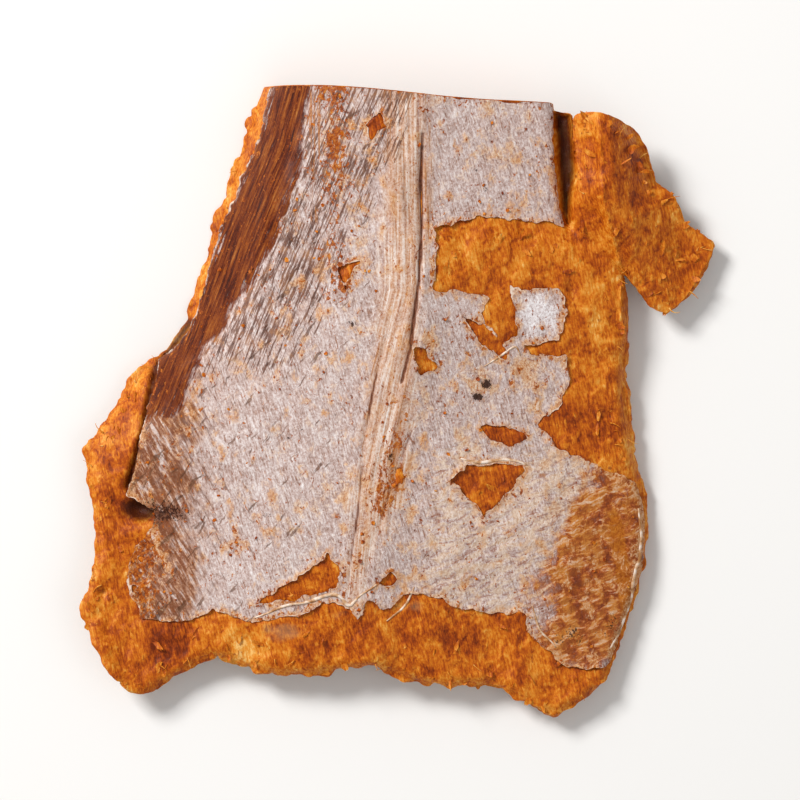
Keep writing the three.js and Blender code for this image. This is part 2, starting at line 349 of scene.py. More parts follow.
def muscle_seam(x, y):
    """1 on a seam between two muscle blocks, 0 away from it."""
    wander = 1.5 * noise(x, y, 7, 41) + 0.35 * noise(x, y, 1.8, 42)
    lean = BLOCK_LEAN * np.sqrt(aside(x, y, MIDLINE) ** 2 + 4)
    phase = (y + wander - lean) / BLOCK_LENGTH
    seam = 1 - smooth(np.abs(phase - np.round(phase)) * BLOCK_LENGTH, 0.2 * SEAM_WIDTH, SEAM_WIDTH)
    return seam * smooth(rough(x, y, 5, 44), -0.7, 0.3) * (1 - on_flap(x, y))


def flesh_bottom(x, y):
    """Level of the flesh's underside, which never goes below the surface that it lies on."""
    bottom = read(solid_bottom, x, y)
    channel = CHANNEL_DEPTH * hill(aside(x, y, MIDLINE), CHANNEL_WIDTH)
    relief = 0.1 + SEAM_DEPTH * muscle_seam(x, y) + 0.1 * rough(x, y, (0.6, 2.6), 43) + channel
    relief += 0.12 * rough(x, y, 2.4, 46)
    slit_shade = in_slit_shade(x, y)
    level = np.maximum(0, bottom + relief) * (1 - slit_shade) + (SLIT_SHADE_LEVEL - SLIT_SHADE_THICKNESS) * slit_shade
    return np.minimum(level, flesh_top(x, y) - THINNEST_FLESH)


WALL_LEDGES = 4  # that the wall of a torn rim is broken into


def flesh_wall(x, y, down):
    """How far a torn rim's wall stands out, at a share of the way down it."""
    ledge = math.floor(down * WALL_LEDGES)
    shreds = noise(x + 7 * ledge, y - 5 * ledge, 2.6, 51) + 0.5 * noise(x + 3 * down, y, 0.7, 52)
    return torn(x, y) * (0.12 * math.sin(math.pi * down) + 0.2 * shreds) + 0.04 * shreds


SMALLEST_SCRAP = 12  # squares


def cells_within(within, x, y):
    """Which squares of a grid belong to a piece. No two touch only at a corner, and smaller scraps
    than the smallest one are dropped."""
    half = (x[1] - x[0]) / 2
    centres = np.meshgrid(x[:-1] + half, y[:-1] + half, indexing="ij")
    keep = within(*centres) > 0
    while True:
        a, b, c, d = keep[:-1, :-1], keep[1:, :-1], keep[:-1, 1:], keep[1:, 1:]
        falling = a & d & ~b & ~c
        rising = b & c & ~a & ~d
        if not (falling.any() or rising.any()):
            break
        keep[1:, :-1] |= falling
        keep[:-1, :-1] |= rising
    left = set(map(tuple, np.argwhere(keep)))
    while left:
        patch = [left.pop()]
        for i, j in patch:
            for near in ((i + 1, j), (i - 1, j), (i, j + 1), (i, j - 1)):
                if near in left:
                    left.remove(near)
                    patch.append(near)
        if len(patch) < SMALLEST_SCRAP:
            keep[tuple(np.array(patch).T)] = False
    return keep


def rim_loops(corners, open_sides):
    """The rims of a sheet of squares, each as the numbers of its points in turn. Side k of a square
    runs from its corner k to the next, and is open where the square has no neighbour there."""
    follows = {}
    for side, is_open in enumerate(open_sides):
        starts = corners[side][is_open]
        follows.update(zip(starts.tolist(), corners[(side + 1) % 4][is_open].tolist()))
    loops = []
    while follows:
        loop = [next(iter(follows))]
        while loop[-1] in follows:
            loop.append(follows.pop(loop[-1]))
        loops.append(np.array(loop[:-1]))
    return loops


def onto_edge(within, x, y, farthest):
    """Places moved along the slope of within() to where it is zero, if that is not too far."""
    small = 0.05
    here = within(x, y)
    slope_x = (within(x + small, y) - here) / small
    slope_y = (within(x, y + small) - here) / small
    steep = slope_x**2 + slope_y**2 + 0.05  # never 0, so that it can divide
    reach = -here / steep
    cap = farthest / np.maximum(farthest, np.abs(reach) * np.sqrt(steep))
    return x + reach * slope_x * cap, y + reach * slope_y * cap


def piece_of(name, points, faces):
    """A smooth piece in the scene, from its points in millimetres and its faces."""
    mesh = bpy.data.meshes.new(name)
    mesh.from_pydata((points * MM).tolist(), [], faces)
    mesh.shade_smooth()
    piece = bpy.data.objects.new(name, mesh)
    bpy.context.scene.collection.objects.link(piece)
    return piece


RIM_MOVES = 4  # how often a rim's points move towards the edge of the area
RIM_MOVE = 0.3  # how far each time, as a share of the pitch
SHARP_SLAB_ANGLE = 62  # in degrees: where two faces meet at more, their edge looks sharp
# On a slab's map the wall of its rim lies in a strip along the bottom, and its upper and lower sides
# lie over that, next to each other. These are shares of the map.
MAP_GAP = 0.005
WALL_STRIP = 0.065
SIDES_FROM = 0.085


def slab(name, pitch, within, upper, lower, wall, rows, sides_apart):
    """A closed piece between an upper and a lower surface, over the area where within() is above
    zero. wall() moves its rim's wall outwards. sides_apart is the share of the map's width that the
    upper side takes. Returns the piece and, for each of its points, x, y and the share down."""
    x = np.arange(survey_x[0], survey_x[-1], pitch)
    y = np.arange(survey_y[0], survey_y[-1], pitch)
    keep = cells_within(within, x, y)
    framed = np.pad(keep, 1)
    around = [framed[:-1, :-1], framed[1:, :-1], framed[:-1, 1:], framed[1:, 1:]]
    used = np.any(around, axis=0)
    rim = used & ~np.all(around, axis=0)
    px, py = np.meshgrid(x, y, indexing="ij")

    number = np.full(used.shape, -1)
    number[used] = np.arange(used.sum())
    i, j = np.nonzero(keep)
    corners = [number[i, j], number[i + 1, j], number[i + 1, j + 1], number[i, j + 1]]
    open_sides = [~framed[i + 1, j], ~framed[i + 2, j + 1], ~framed[i + 1, j + 2], ~framed[i, j + 1]]
    loops = rim_loops(corners, open_sides)

    # The rim's points move onto the edge of the area and are eased halfway through. Then the points
    # beside them even out.
    flat_x = px[used]
    flat_y = py[used]
    on_rim = number[rim]
    for move in range(RIM_MOVES):
        for loop in loops if move == RIM_MOVES // 2 else []:
            for flat in (flat_x, flat_y):
                eased = (np.roll(flat[loop], 1) + np.roll(flat[loop], -1)) / 2
                flat[loop] = (flat[loop] + eased) / 2
        moved = onto_edge(within, flat_x[on_rim], flat_y[on_rim], RIM_MOVE * pitch)
        flat_x[on_rim], flat_y[on_rim] = moved
    touching = [np.roll(rim, shift, axis) for shift in (1, -1) for axis in (0, 1)]
    beside_rim = used & ~rim & np.any(touching, axis=0)
    for flat in (flat_x, flat_y):
        whole = np.zeros(used.shape)
        for _ in range(2):
            whole[used] = flat
            mean = sum(np.roll(whole, shift, axis) for shift in (1, -1) for axis in (0, 1)) / 4
            flat[number[beside_rim]] = (whole[beside_rim] + mean[beside_rim]) / 2

    count = len(flat_x)
    top = upper(flat_x, flat_y)
    bottom = lower(flat_x, flat_y)
    points = [np.stack([flat_x, flat_y, top], 1), np.stack([flat_x, flat_y, bottom], 1)]
    down = [np.zeros(count), np.ones(count)]
    sheet = np.stack(corners, 1)
    faces = [sheet, sheet[:, ::-1] + count]
    span = max(np.ptp(flat_x), np.ptp(flat_y))
    map_x = (flat_x - flat_x.min()) / span
    map_y = (1 - SIDES_FROM - 2 * MAP_GAP) * (flat_y - flat_y.min()) / span
    upper_width = sides_apart - 3 * MAP_GAP
    lower_width = min(upper_width, 1 - sides_apart - 2 * MAP_GAP)
    lower_y = map_y * lower_width / upper_width
    upper_map = np.stack([MAP_GAP + upper_width * map_x, SIDES_FROM + map_y], 1)
    lower_map = np.stack([sides_apart + MAP_GAP + lower_width * map_x, SIDES_FROM + lower_y], 1)
    maps = [upper_map[sheet], lower_map[sheet[:, ::-1]]]

    total = sum(len(loop) for loop in loops) + len(loops)
    base = 2 * count
    walked = 0
    for loop in loops:
        size = len(loop)
        ahead = np.roll(loop, -1)
        behind = np.roll(loop, 1)
        out = np.stack([flat_y[ahead] - flat_y[behind], flat_x[behind] - flat_x[ahead]], 1)
        out /= np.linalg.norm(out, axis=1)[:, None] + 1e-9
        rings = [loop]
        for row in range(1, rows):
            share = row / rows
            stand = wall(flat_x[loop], flat_y[loop], share)
            level = top[loop] * (1 - share) + bottom[loop] * share
            ring = np.stack([flat_x[loop], flat_y[loop], level], 1)
            ring[:, :2] += out * stand[:, None]
            points.append(ring)
            down.append(np.full(size, share))
            rings.append(base + np.arange(size))
            base += size
        rings.append(loop + count)
        along = np.stack([np.arange(size), np.arange(size) + 1]) + walked
        walked += size + 1
        for row, (ring, under) in enumerate(zip(rings, rings[1:])):
            faces.append(np.stack([under, np.roll(under, -1), np.roll(ring, -1), ring], 1))
            u = MAP_GAP + (1 - 2 * MAP_GAP) * along / total
            v = [MAP_GAP + WALL_STRIP * (1 - share) for share in ((row + 1) / rows, row / rows)]
            square = [(u[0], v[0]), (u[1], v[0]), (u[1], v[1]), (u[0], v[1])]
            maps.append(np.stack([np.stack(np.broadcast_arrays(*corner), 1) for corner in square], 1))
    points = np.concatenate(points)
    piece = piece_of(name, points, np.concatenate(faces).tolist())
    piece.data.uv_layers.new(name="OFBake").data.foreach_set("uv", np.concatenate(maps).ravel())
    piece.data.set_sharp_from_angle(angle=math.radians(SHARP_SLAB_ANGLE))
    return piece, points[:, 0], points[:, 1], np.concatenate(down)


def paint(piece, name, values):
    """Gives each point of a piece a number that its material reads by name."""
    layer = piece.data.attributes.new(name, "FLOAT", "POINT")
    layer.data.foreach_set("value", np.ascontiguousarray(values, np.float32))


flesh, x, y, down = slab(
    "flesh", FLESH_PITCH, flesh_within, flesh_top, flesh_bottom, flesh_wall, FLESH_WALL_ROWS,
    FLESH_MAP_SHARE,
)

# How pale the flesh is: gold where it is thin and dry, deep orange where it is thick. Each place is
# x, y, half width, half length and how much paler.
FLESH_TONES = [
    (-32, -8, 4, 12, -0.1), (-26, -27, 4, 3, -0.35), (-18, -27, 5, 2.5, 0.3), (5, -27, 6, 3, -0.12),
    (15, -31, 4, 4, 0.05), (22, -27, 4, 5, -0.2), (6, 15, 3, 4, 0.14), (14, 16.5, 5, 3, 0.2),
    (22, 8, 3, 5, 0.16), (19, -3, 4, 3, -0.2), (26, -4, 1.5, 4, 0.15), (30, 17, 4, 7, 0.14),
    (9.5, -9, 4, 3, -0.16), (11, -4, 3, 1.5, -0.1), (-14, 30, 2, 8, 0.05), (-33, -21, 2, 3, 0.05),
    (26, 9, 1.5, 3, -0.2), (21.5, 24, 1.5, 7, -0.16),
]
# Where a grey film of membrane still covers the flesh, as x, y, half width, half length, how much.
FILM = [(-13, -25.6, 2.6, 1.1, 1), (1.6, -22.8, 3, 0.9, 0.6), (-6.6, -24, 1.6, 0.8, 0.5)]
steps = layer_steps(x, y)
broken = steps - np.floor(steps)
# Painted highlight along the top of each broken layer's edge, and painted shade just under it.
layer_edge_light_and_shade = 0.15 * hill(broken - 0.95, 0.08) - 0.2 * hill(broken - 0.68, 0.08)
layer_tone = 0.22 * noise(np.floor(steps) * 3.7, x * 0, 1, 62)
beyond_fold = aside(x, y, FLAP_FOLD)
# Painted light and shade on the flap: its narrow side a little paler and its wide side darker, as the light
# falls from the left, with a painted highlight along the fold.
flap_light_and_shade = 0.08 - 0.2 * smooth(beyond_fold, -0.2, 0.2) + 0.2 * hill(beyond_fold, 0.3)
# Painted shade: the flesh is darkened in its pits, along the crack and over the sheet in the slit, where
# shade falls.
hollow = smooth(bumps(x, y, PITS), 0.25, 1) + hill(off_line(x, y, CRACK_LINE), 0.5)
FLESH_MARKS = {
    # paler holds the flesh's own tones and the painted highlights and shade of the layers' edges and the
    # flap.
    "paler": bumps(x, y, FLESH_TONES) + layer_tone + layer_edge_light_and_shade + flap_light_and_shade * on_flap(x, y),
    "frayed": (1 - smooth(read(depth_in, x, y), 0, 1.6)) * torn(x, y),
    "hollow": np.clip(hollow + in_slit_shade(x, y), 0, 1) * (down < 0.6),
    "film": np.clip(bumps(x, y, FILM) + 0.3 * rough(x, y, 1, 64), 0, 1) * (down < 0.3),
    "seam": muscle_seam(x, y),
    "underside": down,
}
for name, values in FLESH_MARKS.items():
    paint(flesh, name, values)


def linear(colour):
    """A colour written as an sRGB hex value, as the linear numbers that a shader takes."""
    parts = [int(colour[k : k + 2], 16) / 255 for k in (1, 3, 5)]
    return [c / 12.92 if c <= 0.04045 else ((c + 0.055) / 1.055) ** 2.4 for c in parts] + [1]


def add(tree, kind, settings=None, feeds=None):
    """Adds a node. Settings are its own by name, and stops are a colour ramp's. Feeds are what goes
    into its inputs, by name or number: a value, a colour in hex, or another node's output."""
    made = tree.nodes.new(kind)
    for name, value in (settings or {}).items():
        if name == "stops":
            ramp = made.color_ramp
            while len(ramp.elements) < len(value):
                ramp.elements.new(0.5)
            for element, (place, colour) in zip(ramp.elements, value):
                element.position = place
                element.color = linear(colour)
        else:
            setattr(made, name, value)
    for name, value in (feeds or {}).items():
        if isinstance(value, bpy.types.NodeSocket):
            tree.links.new(value, made.inputs[name])
        else:
            made.inputs[name].default_value = linear(value) if isinstance(value, str) else value
    return made


# A mix node's sockets for colours, by number, because their names repeat.
MIX_FROM = 6
MIX_TO = 7
MIXED = 2
PER_MM = 1 / MM  # a texture's scale for features one millimetre apart

# Dried fish flesh: muscle dried hard in air, torn by hand. It gives a deep amber that is gold and
# matt where fibres have frayed, and a waxy half gloss where the flesh is whole.
dried_flesh = bpy.data.materials.new("air_dried_fish_flesh")
dried_flesh.use_nodes = True
tree = dried_flesh.node_tree
shader = tree.nodes["Principled BSDF"]
place = add(tree, "ShaderNodeTexCoord").outputs["Object"]
marks = {
    name: add(tree, "ShaderNodeAttribute", {"attribute_name": name}).outputs["Fac"]
    for name in FLESH_MARKS
}
FLESH_LEAN = 12  # how far the fibres lean to the left of the length, in degrees
# Each grain's name, its size across and along the fibres, its detail and its distortion. Real fibres
# are finer than the fibre grain, which is as coarse as it has to be to show.
FLESH_GRAINS = [
    ("mottle", 2.2, 3.2, 5, 0.3), ("grain", 0.36, 0.4, 4, 0), ("fibre", 0.2, 1.1, 3, 0.2),
    ("pore", 0.7, 1.1, 2, 0.4),
]
grains = {}
for name, wide, long, detail, distortion in FLESH_GRAINS:
    stretched = add(
        tree, "ShaderNodeMapping", {"vector_type": "TEXTURE"},
        {
            "Vector": place,
            "Rotation": (0, 0, math.radians(FLESH_LEAN)),
            "Scale": (wide * MM, long * MM, wide * MM),
        },
    ).outputs["Vector"]
    grains[name] = add(
        tree, "ShaderNodeTexNoise", {},
        {"Vector": stretched, "Scale": 1, "Detail": detail, "Roughness": 0.66, "Distortion": distortion},
    ).outputs["Fac"]
tone = 0
for share, source in (
    (1, grains["mottle"]), (0.45, grains["grain"]), (0.85, grains["fibre"]), (0.6, marks["paler"]),
    (0.08, marks["frayed"]),
):
    tone = add(
        tree, "ShaderNodeMath", {"operation": "MULTIPLY_ADD"}, {0: source, 1: share, 2: tone}
    ).outputs["Value"]
spread = add(
    tree, "ShaderNodeMapRange", {}, {"Value": tone, "From Min": 0.76, "From Max": 1.6}
).outputs["Result"]
amber = add(
    tree, "ShaderNodeValToRGB",
    {"stops": [
        (0.06, "#6b2502"), (0.28, "#9a4004"), (0.44, "#bb5b08"), (0.56, "#cc7012"), (0.68, "#d98526"),
        (0.82, "#e29b3f"), (0.96, "#edb96c"),
    ]},
    {"Fac": spread},
).outputs["Color"]
muscle = add(
    tree, "ShaderNodeValToRGB",
    {"stops": [(0.1, "#6f3210"), (0.4, "#a05c2a"), (0.65, "#bd8048"), (0.95, "#dcb283")]},
    {"Fac": spread},
).outputs["Color"]
below = add(
    tree, "ShaderNodeMapRange", {"interpolation_type": "SMOOTHSTEP"},
    {"Value": marks["underside"], "From Min": 0.75, "From Max": 1},
).outputs["Result"]
seams = add(
    tree, "ShaderNodeMath", {"operation": "MULTIPLY"}, {0: marks["seam"], 1: 0.65}
).outputs["Value"]
seamed = add(
    tree, "ShaderNodeMix", {"data_type": "RGBA"}, {"Factor": seams, MIX_FROM: muscle, MIX_TO: "#e6c8a4"}
).outputs[MIXED]
pores = add(
    tree, "ShaderNodeMapRange", {"interpolation_type": "SMOOTHSTEP"},
    {"Value": grains["pore"], "From Min": 0.36, "From Max": 0.27, "To Max": 0.75},
).outputs["Result"]
# The painted shade in the pits, the crack and the slit.
hollow_shades = add(
    tree, "ShaderNodeMath", {"operation": "MULTIPLY"}, {0: marks["hollow"], 1: 0.92}
).outputs["Value"]
filmed = add(
    tree, "ShaderNodeMapRange", {"interpolation_type": "SMOOTHSTEP"},
    {"Value": marks["film"], "From Min": 0.3, "From Max": 0.9, "To Max": 0.35},
).outputs["Result"]
flesh_colour = amber
for amount, colour in (
    (below, seamed), (pores, "#8a3506"), (filmed, "#a68a64"), (hollow_shades, "#3d1608"),
):
    flesh_colour = add(
        tree, "ShaderNodeMix", {"data_type": "RGBA"},
        {"Factor": amount, MIX_FROM: flesh_colour, MIX_TO: colour},
    ).outputs[MIXED]
tree.links.new(flesh_colour, shader.inputs["Base Color"])
relief = add(
    tree, "ShaderNodeMath", {"operation": "MULTIPLY_ADD"}, {0: grains["grain"], 1: 1, 2: grains["fibre"]}
).outputs["Value"]
bump = add(
    tree, "ShaderNodeBump", {}, {"Height": relief, "Distance": 0.06 * MM, "Strength": 1}
).outputs["Normal"]
tree.links.new(bump, shader.inputs["Normal"])
matt = add(
    tree, "ShaderNodeMapRange", {}, {"Value": grains["grain"], "To Min": 0.34, "To Max": 0.62}
).outputs["Result"]
tree.links.new(matt, shader.inputs["Roughness"])
shader.inputs["IOR"].default_value = 1.46
shader.inputs["Specular IOR Level"].default_value = 0.2
shader.inputs["Subsurface Weight"].default_value = 0.06
shader.inputs["Subsurface Radius"].default_value = (1.4 * MM, 0.6 * MM, 0.3 * MM)
shader.inputs["Subsurface Scale"].default_value = 1
flesh.data.materials.append(dried_flesh)
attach(flesh, "root")
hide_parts("fillet")

# ------------------------------------------------------------------------------------------------
# The skin. It is a thin sheet of silver skin, dried tight over the flesh, pleated along the midline
# and torn at its edges, which have curled up a little. Fine brown strokes cross it on both flanks.

SKIN_PITCH = 0.25
SKIN_WALL_ROWS = 2
SKIN_MAP_SHARE = 0.72  # more than half, as its lower side hardly shows
SKIN_THICKNESS = 0.18
CURL_REACH = 0.8  # how far in from a torn edge the skin has curled up
CURL_HEIGHT = 0.15
PLEAT_PITCH = 1.15
PLEAT_HEIGHT = 0.035
PLEATED_WIDTH = 3.2  # on either side of the midline
UPPER_STROKE_HEIGHT = 0.025
LOWER_STROKE_HEIGHT = 0.03
RIB_HEIGHT = 0.07
WRINKLE_HEIGHT = 0.14
# How far the strokes lean to the left of the fillet's length, in degrees.
UPPER_LEAN = -22
LEFT_LEAN = 30
RIGHT_LEAN = -70
# Creases, each with its half width, its depth and its line.
CREASES = [
    (0.2, 0.32, [(2.5, 29.4), (2.3, 24), (2.4, 19), (2.1, 13.4), (1.6, 9.4), (1.1, 5.6), (0.2, 2)]),
    (0.17, 0.16, [(0.3, 29.4), (0.5, 26), (0.35, 22)]),
    (0.18, 0.17, [(-1.4, 7), (-2.8, 2), (-3.9, -4), (-4.6, -12), (-5.8, -20.5)]),
    (0.18, 0.13, [(1.2, -3.6), (-0.8, -9), (-2.6, -15)]),
    (0.15, 0.12, [(8.4, 28.2), (11.2, 24.6)]),
    (0.17, 0.1, [(12.6, -15.2), (8.6, -17.4), (6.2, -17.8)]),
]


def skin_top(x, y):
    """Level of the skin's upper side: pleats along the midline, strokes and ribs on the flanks."""
    beside = aside(x, y, MIDLINE)
    pleated = hill(beside, PLEATED_WIDTH)
    wave = beside * 2 * math.pi / PLEAT_PITCH + 2.2 * noise(x, y, (1.5, 7), 71)
    pleats = (PLEAT_HEIGHT * np.sin(wave) + 0.06 * noise(beside, y, (0.5, 4), 70)) * pleated
    upper = smooth(y - 0.5 * x, 4, 14)
    strokes = UPPER_STROKE_HEIGHT * noise(*turned(x, y, UPPER_LEAN), (0.6, 2.8), 75) * upper
    strokes += LOWER_STROKE_HEIGHT * noise(*turned(x, y, LEFT_LEAN), (0.7, 2.4), 72) * (1 - upper)
    strokes *= (1 - pleated) * (beside < 0)
    ribs = RIB_HEIGHT * noise(*turned(x, y, RIGHT_LEAN), (0.6, 2), 74)
    ribs = ribs * smooth(beside, 3, 8) * smooth(-y, -3, 8)
    wrinkles = WRINKLE_HEIGHT * rough(x, y, (3.2, 5.5), 73) + 0.035 * rough(x, y, 1.1, 76)
    lifted = 0.5 + 0.5 * noise(x, y, 3.4, 79)
    edge = 1 - smooth(skin_within(x, y), 0, CURL_REACH)
    curl = CURL_HEIGHT * edge * lifted * torn(x, y)
    level = read(solid_top, x, y) + pleats + strokes + ribs + wrinkles + curl
    for width, depth, line in CREASES:
        level -= depth * hill(off_line(x, y, line), width)
    return level


def skin_bottom(x, y):
    """Level of its lower side. It thins out towards its torn edges."""
    edge = 1 - smooth(skin_within(x, y), 0, 0.5)
    return skin_top(x, y) - SKIN_THICKNESS * (1 - 0.4 * edge * torn(x, y))


def skin_wall(x, y, down):
    """How far its edge's wall stands out: next to nothing, as the sheet is so thin."""
    return 0.03 * noise(x, y, 0.5, 81)


skin, x, y, down = slab(
    "skin", SKIN_PITCH, skin_within, skin_top, skin_bottom, skin_wall, SKIN_WALL_ROWS, SKIN_MAP_SHARE
)

# The brown side band, from the knife cut down to where the left rim bulges, and its outer rim.
SIDE_BAND = [
    (-9.4, 37), (-11.2, 25), (-13.8, 17.2), (-17.6, 11), (-21.4, 6), (-25, -2), (-29, -2),
    (-28, 5), (-24, 8), (-20.2, 18.5), (-15.7, 29.2), (-13.6, 37),
]
BAND_RIM = [(-13.6, 37), (-15.7, 29.2), (-20.2, 18.5), (-24, 8), (-28, -2)]
# The band of cream pleats along the midline, and the rusty zone of the lower right flank.
CREAM_BAND = [
    (3.6, 36), (3.4, 18), (2.6, 9), (2, 0), (1, -10), (-2.6, -17), (-5, -24), (-6.6, -21), (-5.4, -9),
    (-3.6, 2), (-3.2, 9), (-2.4, 18), (-2, 36),
]
RUST_ZONE = [(30, -7), (22, -7.4), (18.6, -10), (16.6, -15), (15, -21), (15, -28), (21, -32), (30, -28)]
# Where amber flesh shines through the skin, beside the right rim.
AMBER_LINE = [(23.2, -8), (26.84, -34)]
# Where crumbs and specks of oil have gathered.
SPECKLED_LINES = [
    [(-7.4, 35), (-7, 24), (-6.8, 12)], [(-0.6, -5), (-2, -12)], [(-28.6, -16), (-28, -23)],
]
# Where the pleats beside the creases are browned.
STREAKED_LINES = [
    [(1.5, 12), (0.9, 4), (-0.6, -6), (-1.6, -12)], [(-2.2, 6), (-4.2, -5)], [(-1.2, 36), (-1, 20)],
    [(3.2, 36), (2.9, 18)], [(-9.4, 34), (-9.4, 20)],
]
# Where oil has warmed the silver: x, y, half width, half length and how much.
WARM_AREAS = [
    (10, 1, 7, 6, 0.8), (2, -2, 3, 8, 0.6), (-2, -15, 4, 6, 0.5), (12, 27, 4, 3, 0.5),
    (-8, 24, 3, 10, 0.6), (18, -14, 4, 8, 0.7), (17, 8, 4, 3, -1), (-14, -18, 7, 5, -0.4),
]
# Dark marks, also as x, y, half width, half length and how dark.
DARK_MARKS = [
    (9.6, 1.8, 0.7, 0.6, 1.4), (8.6, 0.3, 0.8, 0.5, 1.4), (-7.2, -1.6, 0.35, 0.35, 0.8),
    (-14.6, -12.7, 0.8, 0.4, 0.8), (-12.6, -4.2, 0.9, 0.3, 0.8), (-10.8, -3.4, 0.6, 0.3, 0.8),
    (-27.6, -12.6, 2.6, 1.5, 0.9), (-24.6, -12.4, 1.6, 1.2, 0.6), (19.4, -26.4, 2.6, 2, 0.5),
    (23.6, -25.2, 1, 1.8, 0.6), (-5.3, 8.4, 0.7, 0.4, 0.7), (-14.5, -5, 0.5, 0.4, 0.4),
    (-1, -6.4, 1.6, 1, 0.6), (9.5, 23.2, 0.5, 0.4, 0.5), (8.4, 25.4, 1, 0.3, 0.5),
]
# One brown stain, and a scrap that light has bleached: x, y, half width, half length, how much.
LOW_LEFT_STAIN = [(-29.4, -20.4, 4, 4, 1)]
BLEACHED_SCRAP = [(15.3, 9.4, 2.8, 3, 1)]
warp = 0.6 * rough(x, y, 1.6, 91)
band_in = inset(x, y, SIDE_BAND) + warp
outside_band = smooth(-band_in, -1, 0.5)
upper_left = smooth(0.45 * y - x + 2 * rough(x, y, 3, 94), 8, 15) * smooth(y, -6, 6) * outside_band
rim_left = smooth(-x + 3 * rough(x, y, 3, 96), 14, 29) * outside_band
speckled = 0.2 * rough(x, y, 6, 97) + 0.4 * (1 - smooth(skin_within(x, y), 0, 1))
for line in SPECKLED_LINES:
    near = hill(off_line(x, y, line), 1.7)
    speckled = speckled + near * (0.6 + 0.7 * rough(x, y, (0.9, 3.4), 98))
# Painted shade along the creases, darker where they are deeper.
creased = sum(5.5 * depth * hill(off_line(x, y, line), width) for width, depth, line in CREASES)
streaked = sum(hill(off_line(x, y, line), 1.1) for line in STREAKED_LINES)
low_left = bumps(x, y, LOW_LEFT_STAIN)
right_flank = smooth(aside(x, y, MIDLINE), 3, 8) * smooth(-y, -3, 8)
SKIN_MARKS = {
    "side_band": smooth(band_in, -1.4, 1.4),
    # A darker border round the band: painted shade along its outer edge, where the band turns down.
    "band_rim": hill(band_in, 0.7) * smooth(band_in, -0.5, 0.1),
    "off_band": off_line(x, y, BAND_RIM) * MM,
    "off_midline": aside(x, y, MIDLINE) * MM,
    "upper_left": upper_left,
    "rim_left": np.clip(rim_left, 0, 1),
    "stained": np.clip(0.25 * upper_left + 1.1 * rim_left**2 + 0.5 * low_left, 0, 1),
    "warm": bumps(x, y, WARM_AREAS),
    "cream": smooth(inset(x, y, CREAM_BAND) + 0.8 * warp, -2.4, 2),
    "rust": smooth(inset(x, y, RUST_ZONE) + 2.4 * rough(x, y, 3.4, 95), -3, 3),
    "amber": hill(aside(x, y, AMBER_LINE), 1.3) * smooth(-y, 10, 14),
    "speckled": np.clip(speckled, 0, 1),
    "bleached": bumps(x, y, BLEACHED_SCRAP),
    "streaked": np.clip(streaked, 0, 1),
    "edge_stain": (1 - smooth(skin_within(x, y), 0, 1.8)) * torn(x, y),
    "creased": np.clip(creased * (0.75 + 0.5 * noise(x, y, (0.8, 2), 99)), 0, 1),
    "dark_mark": np.clip(bumps(x, y, DARK_MARKS), 0, 1.2),
    # A painted highlight along the skin's torn edges, where they catch the light.
    "torn_edge": (1 - smooth(skin_within(x, y), 0.05, 0.5)) * torn(x, y),
    "right_flank": right_flank,
    "left_flank": smooth(-aside(x, y, MIDLINE), 1.6, 5) * (1 - smooth(band_in, -0.4, 0.4)),
}
for name, values in SKIN_MARKS.items():
    paint(skin, name, values)

# Dried silver skin: the fish's own skin, scaleless and guanine-silvered, dried in air. It gives a
# pinkish pearl white with a half gloss, stained brown where oil has come through.
silver_skin = bpy.data.materials.new("dried_silver_skin")
silver_skin.use_nodes = True
tree = silver_skin.node_tree
shader = tree.nodes["Principled BSDF"]
place = add(tree, "ShaderNodeTexCoord").outputs["Object"]
values = {
    name: add(tree, "ShaderNodeAttribute", {"attribute_name": name}).outputs["Fac"]
    for name in SKIN_MARKS
}
wander = add(
    tree, "ShaderNodeTexNoise", {}, {"Vector": place, "Scale": PER_MM / 1.8, "Detail": 3}
).outputs["Color"]
centred = add(
    tree, "ShaderNodeVectorMath", {"operation": "SUBTRACT"}, {0: wander, 1: (0.5, 0.5, 0.5)}
).outputs["Vector"]
warped = add(
    tree, "ShaderNodeVectorMath", {"operation": "MULTIPLY_ADD"},
    {0: centred, 1: (0.0012, 0.0012, 0), 2: place},
).outputs["Vector"]
# Grain that follows the midline or the side band is measured from it instead of across the piece.
upward = add(tree, "ShaderNodeSeparateXYZ", {}, {0: place}).outputs["Y"]
frames = {"place": place, "warped": warped}
for line in ("off_midline", "off_band"):
    frames[line] = add(
        tree, "ShaderNodeCombineXYZ", {}, {"X": values[line], "Y": upward}
    ).outputs["Vector"]
# Each grain's name, what it follows, its size across and along, how far it leans to the left of the
# length, its detail and its roughness. The hair grain is drawn as coarse as it has to be to show.
SKIN_GRAINS = [
    ("fine", "warped", 0.24, 0.3, 0, 3, 0.7), ("hair", "place", 0.17, 1.1, 16, 3, 0.6),
    ("broad", "warped", 4.2, 5.5, 0, 5, 0.62), ("patch", "warped", 1.3, 1.7, 0, 4, 0.62),
    ("speck", "warped", 0.42, 0.6, 0, 3, 0.7), ("pleat", "off_midline", 0.34, 9, 0, 4, 0.66),
    ("band_fibre", "off_band", 0.3, 5, 0, 5, 0.66),
    ("upper_stroke", "place", 0.22, 2.6, UPPER_LEAN, 4, 0.62),
    ("rim_stroke", "place", 0.4, 2.3, LEFT_LEAN, 3, 0.62), ("crack", "warped", 0.5, 3.4, -38, 2, 0.5),
    ("rib", "warped", 0.42, 1.8, RIGHT_LEAN, 4, 0.66),
]
for name, frame_name, wide, long, lean, detail, roughness in SKIN_GRAINS:
    aligned = add(
        tree, "ShaderNodeMapping", {"vector_type": "TEXTURE"},
        {
            "Vector": frames[frame_name],
            "Rotation": (0, 0, math.radians(lean)),
            "Scale": (wide * MM, long * MM, long * MM),
        },
    ).outputs["Vector"]
    values[name] = add(
        tree, "ShaderNodeTexNoise", {},
        {"Vector": aligned, "Scale": 1, "Detail": detail, "Roughness": roughness},
    ).outputs["Fac"]

